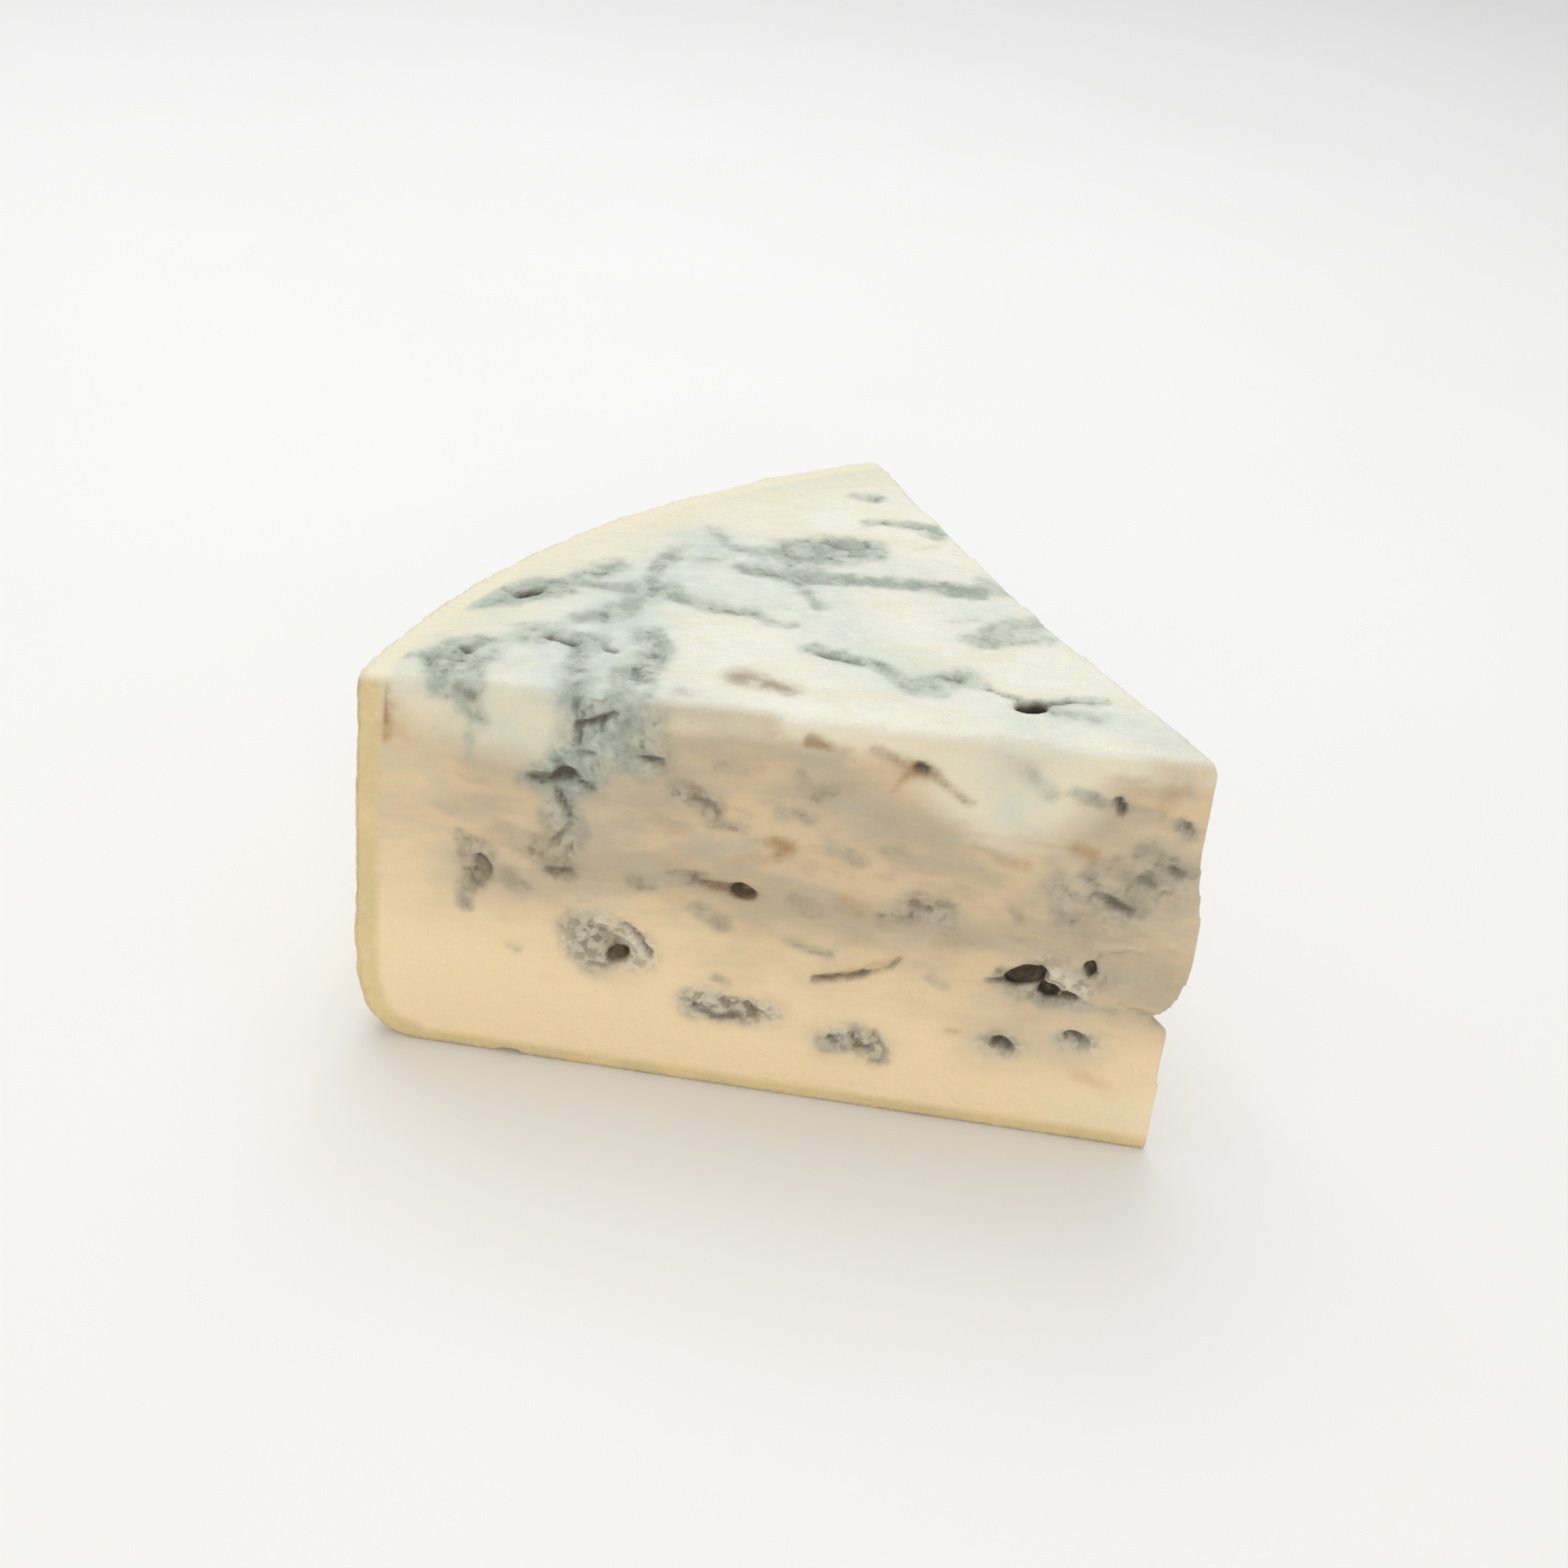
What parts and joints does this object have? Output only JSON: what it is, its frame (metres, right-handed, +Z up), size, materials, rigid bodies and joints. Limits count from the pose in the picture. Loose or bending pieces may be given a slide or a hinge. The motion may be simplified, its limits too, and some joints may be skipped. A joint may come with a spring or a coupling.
{
  "type": "blue-veined cheese wedge",
  "caption": "Wedge of soft blue-veined cheese cut from a halved wheel: two cut faces meeting at a tip, a level cut top and a pale rounded rind.",
  "frame": {"origin": "on the resting surface, under the middle of the wedge's bounding box", "axes": "+Z up; -Y out of the first cut face; +X from the rind towards the tip"},
  "size_m": [0.139, 0.115, 0.0759],
  "materials": {
    "cheese_paste": "moist, slightly translucent cream-white paste with grey-green mould veins, and a pale straw rind"
  },
  "bodies": {
    "root": {"cheese_wedge": "cheese_paste"}
  },
  "joints": []
}
